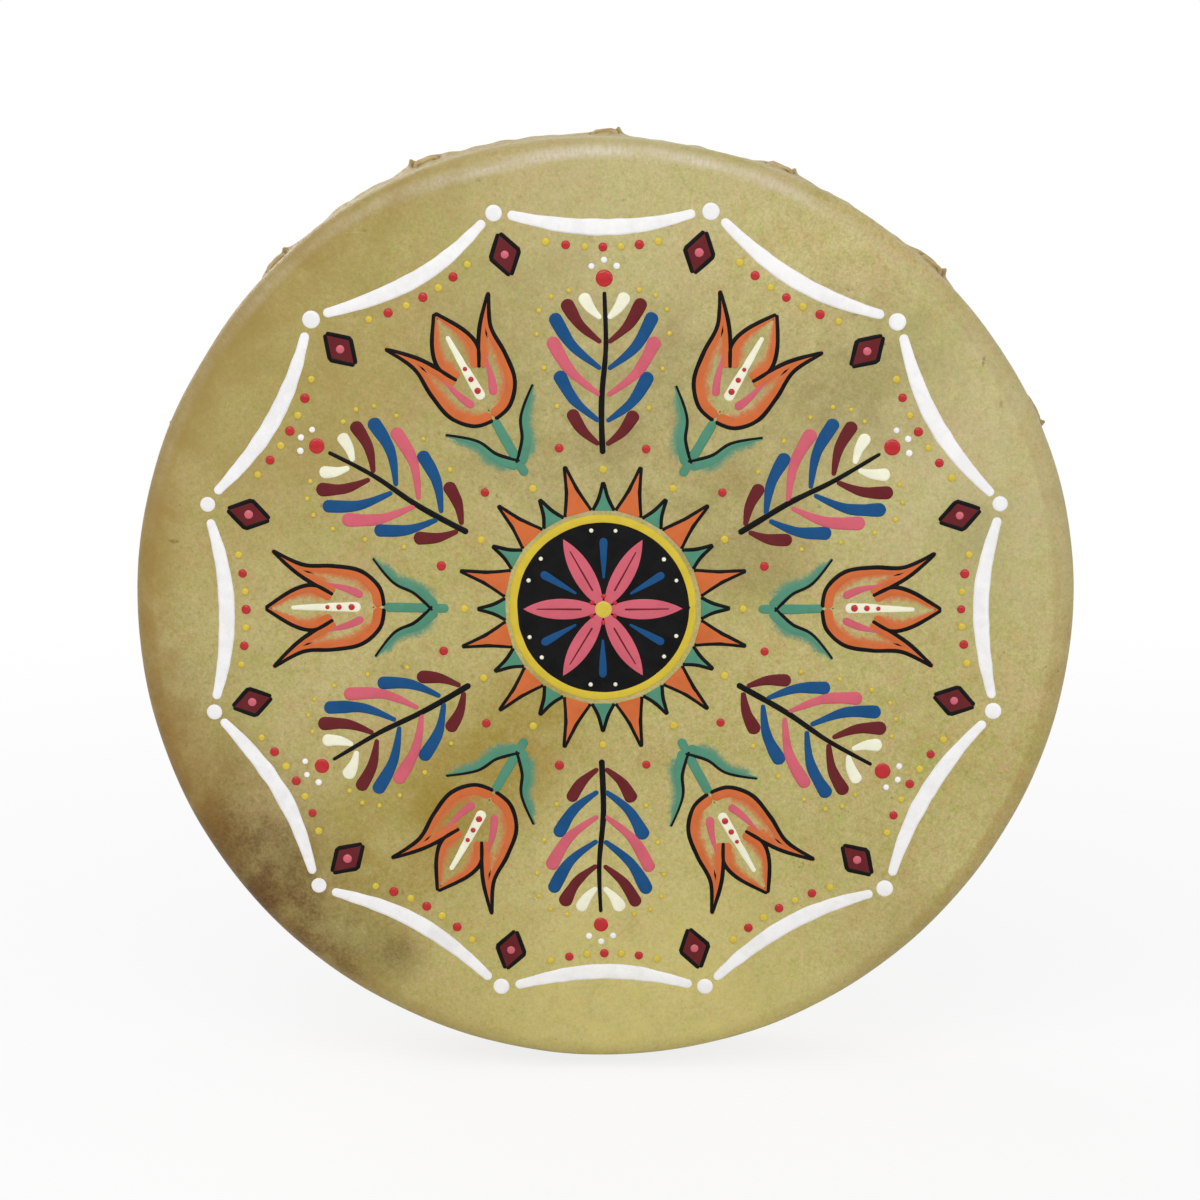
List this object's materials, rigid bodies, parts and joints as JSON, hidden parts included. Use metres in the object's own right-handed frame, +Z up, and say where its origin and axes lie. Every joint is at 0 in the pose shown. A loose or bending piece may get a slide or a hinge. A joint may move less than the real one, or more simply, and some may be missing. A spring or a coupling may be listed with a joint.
{
  "type": "frame drum",
  "caption": "Round single-headed frame drum: a rawhide head laced over a bent wooden hoop, with a painted face and a leather-bound cross grip.",
  "frame": {"origin": "the middle of the grip ring, on the drum's axis, where the hand holds the drum", "axes": "+Z up as the drum hangs in the hand, -Y the way the painted face looks, +X to the right seen from the front"},
  "size_m": [0.4116, 0.0614, 0.4116],
  "materials": {
    "rawhide": "dried translucent rawhide, satin, mottled, with smoky stains at the rim and a flat painted pattern",
    "hoop_wood": "oiled bent ash, satin, grain round the hoop",
    "ring_iron": "blackened forged iron, slightly worn",
    "sleeve_leather": "dark brown suede, stitched, rubbed lighter along its edges",
    "lace_rawhide": "twisted dried rawhide lace, satin"
  },
  "bodies": {
    "root": {"rawhide_head": "rawhide", "wooden_hoop": "hoop_wood", "grip_ring": "ring_iron", "grip_sleeve_1": "sleeve_leather", "grip_sleeve_2": "sleeve_leather", "grip_sleeve_3": "sleeve_leather", "grip_sleeve_4": "sleeve_leather", "lace_loop_01": "lace_rawhide", "lace_loop_02": "lace_rawhide", "lace_loop_03": "lace_rawhide", "lace_loop_04": "lace_rawhide", "lace_loop_05": "lace_rawhide", "lace_loop_06": "lace_rawhide", "lace_loop_07": "lace_rawhide", "lace_loop_08": "lace_rawhide", "lace_loop_09": "lace_rawhide", "lace_loop_10": "lace_rawhide", "lace_loop_11": "lace_rawhide", "lace_loop_12": "lace_rawhide", "lace_loop_13": "lace_rawhide", "lace_loop_14": "lace_rawhide", "lace_loop_15": "lace_rawhide", "lace_loop_16": "lace_rawhide"}
  },
  "joints": []
}
